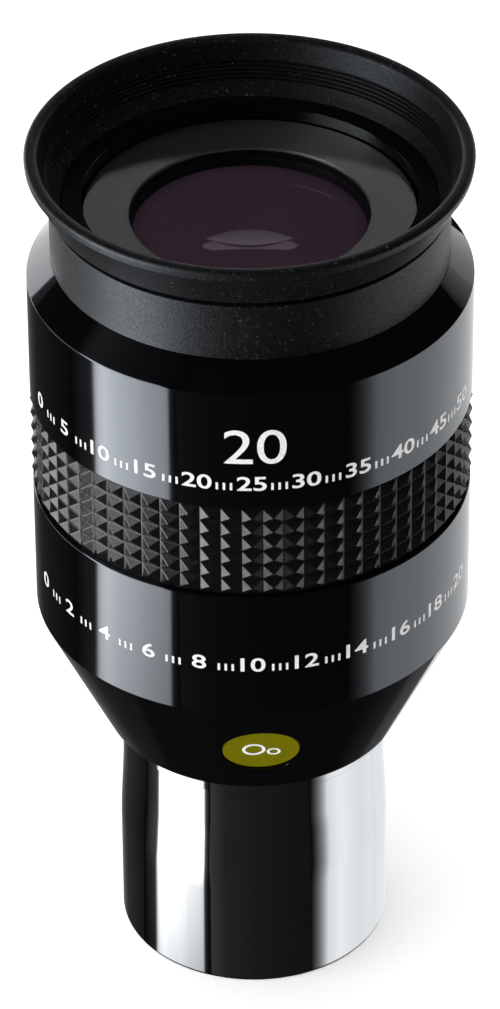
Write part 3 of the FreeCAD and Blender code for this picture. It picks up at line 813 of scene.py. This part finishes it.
def make_lock_ring(black):
    """Black ring under the trim ring, whose bore shows as a dark step round the lens."""
    outline = [(LOCK_LIP_R, LOCK_LIP_Z, 0.05), (LENS_R, LOCK_Z - 0.1, 0), (LOCK_R, LOCK_Z, 0),
               (LOCK_R, LOCK_TOP, 0), (LOCK_BORE_R, LOCK_BORE_TOP, 0.05), (LOCK_BORE_R, LOCK_LIP_TOP, 0.05),
               (LOCK_LIP_R + 0.15, LOCK_LIP_TOP - 0.05, 0.05)]
    finish_piece(lathe("lock_ring", rounded(outline)), black, ["eye_lock_ring"])


def make_eye_lens():
    """Domed eye lens."""
    outline = [(0.0, LENS_Z), (LENS_R, LENS_SIDE_Z)]
    for ring in range(LENS_RINGS, -1, -1):
        r = LENS_R * ring / LENS_RINGS
        outline.append((r, LENS_TOP - LENS_SAG * (r / LENS_R) ** 2))
    finish_piece(lathe("eye_lens_glass", outline), lens_coating_painted_reflection(), ["eye_lens"])


# ---------------------------------------------------------------- marks

MARK_RISE = 0.015
MARK_SINK = 0.1
MARK_BEND_STEP = 0.5
SCALE_NUMBERS = 11
SCALE_STEP = 14
SCALE_HEIGHT = 1.9
SCALE_WIDEN = 1.35
SCALE_BOLD = 0.02
SCALE_STROKE_STEP = 1.8
STROKE_HALF_WIDTH = 0.14
STROKE_SHARE = 0.5
LETTER_SIZE = 1.38
UPPER_SCALE_Z = 78.6
LOWER_SCALE_Z = 53.5
NUMBER_Z = 82.2
NUMBER_HEIGHT = 4.7
NUMBER_X = 0.4
NUMBER_WIDEN = 1.15


def wrapped(name, flat, r, material):
    """A piece from flat patches of (x, z) corners in mm, x measured round a cylinder of radius r. Cuts
    every MARK_BEND_STEP let the patches bend with the cylinder."""
    shaper = bmesh.new()
    for patch in flat:
        shaper.faces.new([shaper.verts.new((x, z, 0)) for x, z in patch])
    span = max(abs(vert.co.x) for vert in shaper.verts)
    cut = -span
    while cut < span:
        geometry = shaper.verts[:] + shaper.edges[:] + shaper.faces[:]
        bmesh.ops.bisect_plane(shaper, geom=geometry, plane_co=(cut, 0, 0), plane_no=(1, 0, 0))
        cut += MARK_BEND_STEP
    thick = bmesh.ops.extrude_face_region(shaper, geom=shaper.faces[:])
    lifted = {item for item in thick["geom"] if isinstance(item, bmesh.types.BMVert)}
    for vert in shaper.verts:
        away = r + (MARK_RISE if vert in lifted else -MARK_SINK)
        turn = vert.co.x / r
        vert.co = Vector((away * math.sin(turn), -away * math.cos(turn), vert.co.y)) * MM
    bmesh.ops.recalc_face_normals(shaper, faces=shaper.faces)
    mesh = bpy.data.meshes.new(name)
    shaper.to_mesh(mesh)
    shaper.free()
    piece = bpy.data.objects.new(name, mesh)
    bpy.context.scene.collection.objects.link(piece)
    finish_piece(piece, material)


def number_patches(words, height, centre_x, foot_z, widen, bold):
    """The outline of a plain number as flat patches, made wider and bolder than the plain letters."""
    curve = bpy.data.curves.new("number", "FONT")
    curve.body = words
    curve.size = height * LETTER_SIZE
    curve.offset = bold * height
    curve.resolution_u = 6
    text = bpy.data.objects.new("number", curve)
    bpy.context.scene.collection.objects.link(text)
    bpy.context.view_layer.update()
    mesh = bpy.data.meshes.new_from_object(text.evaluated_get(bpy.context.evaluated_depsgraph_get()))
    across = [vert.co.x for vert in mesh.vertices]
    middle = (min(across) + max(across)) / 2
    patches = []
    for face in mesh.polygons:
        corners = [mesh.vertices[index].co for index in face.vertices]
        patches.append([(centre_x + (co.x - middle) * widen, foot_z + co.y) for co in corners])
    bpy.data.objects.remove(text)
    return patches


def make_scale(name, r, z, unit, ink):
    """A graduated scale round the front of the housing: numbers with three strokes between them."""
    patches = []
    reach = SCALE_NUMBERS // 2
    top = z + SCALE_HEIGHT * STROKE_SHARE
    for index in range(-reach, reach + 1):
        centre = math.radians(index * SCALE_STEP) * r
        number = str((index + reach) * unit)
        patches += number_patches(number, SCALE_HEIGHT, centre, z, SCALE_WIDEN, SCALE_BOLD)
        if index == reach:
            continue
        for stroke in (-1, 0, 1):
            x = centre + math.radians(SCALE_STEP / 2 + stroke * SCALE_STROKE_STEP) * r
            left, right = x - STROKE_HALF_WIDTH, x + STROKE_HALF_WIDTH
            patches.append([(left, z), (right, z), (right, top), (left, top)])
    wrapped(name, patches, r, ink)


def make_marks(ink):
    """A scale on each housing, and one larger number on the upper housing."""
    make_scale("upper_scale", UPPER_R, UPPER_SCALE_Z, 5, ink)
    make_scale("lower_scale", LOWER_R, LOWER_SCALE_Z, 2, ink)
    number = number_patches("20", NUMBER_HEIGHT, NUMBER_X, NUMBER_Z, NUMBER_WIDEN, 0.0)
    wrapped("number_mark", number, UPPER_R, ink)


# ---------------------------------------------------------------- purge disc

DISC_R = 4.45
BUBBLE_SEGMENTS = 64
BUBBLE_SINK = 0.05
BUBBLE_RISE = 0.02
BUBBLES = {  # middle across and up the disc, outer and inner radius
    "bubble_large": (-0.85, 0.1, 1.35, 0.98),
    "bubble_small": (1.45, -0.5, 0.8, 0.5),
}


def make_disc(ink):
    """The olive disc in its recess, with two plain white bubbles on it."""
    place = port_frame()
    half = DISC_THICKNESS / 2
    outline = [(0.0, -half, 0), (DISC_R, -half, 0), (DISC_R, half, 0.12), (0.0, half, 0)]
    piece = lathe("disc", rounded(outline), SMALL_SEGMENTS)
    piece.data.transform(place)
    finish_piece(piece, olive_enamel(), ["purge_disc"])
    foot, top = half - BUBBLE_SINK, half + BUBBLE_RISE
    for name, (x, y, outer, inner) in BUBBLES.items():
        ring = lathe(name, [(inner, foot), (outer, foot), (outer, top), (inner, top)], BUBBLE_SEGMENTS)
        ring.data.transform(place @ Matrix.Translation(Vector((x, y, 0)) * MM))
        finish_piece(ring, ink)


# ---------------------------------------------------------------- inner parts

INNER_NODES = {
    "clear_glass": ("doublet_a_crown", "doublet_a_flint", "doublet_b_crown", "doublet_b_flint",
                    "field_lens_lower", "field_lens_upper"),
    "matte_black": ("optics_cell", "upper_spacer", "middle_spacer", "lower_spacer", "field_lens_cell",
                    "field_retaining_ring", "field_stop", "baffle_tube"),
    "seal_rubber": ("barrel_seal_oring", "housing_seal_oring", "eye_seal_oring", "field_seal_oring",
                    "purge_seal_oring"),
    "turned_steel": ("purge_plug",),
}


def dress_inner_nodes(materials):
    """Gives the parts inside the housings their materials."""
    for name, nodes in INNER_NODES.items():
        for node in nodes:
            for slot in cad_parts[node].material_slots:
                slot.material = materials[name]


# ---------------------------------------------------------------- the whole eyepiece

make_camera()
make_stage()
GLOSS = black_anodised()
BLACK = matte_black()
INK = white_ink()
make_barrel()
make_lower_housing(GLOSS)
make_upper_housing(GLOSS)
make_grip()
make_eyecup()
make_trim_ring()
make_lock_ring(BLACK)
make_eye_lens()
make_marks(INK)
make_disc(INK)
dress_inner_nodes({"clear_glass": clear_glass(), "matte_black": BLACK, "seal_rubber": seal_rubber(),
                   "turned_steel": turned_steel()})
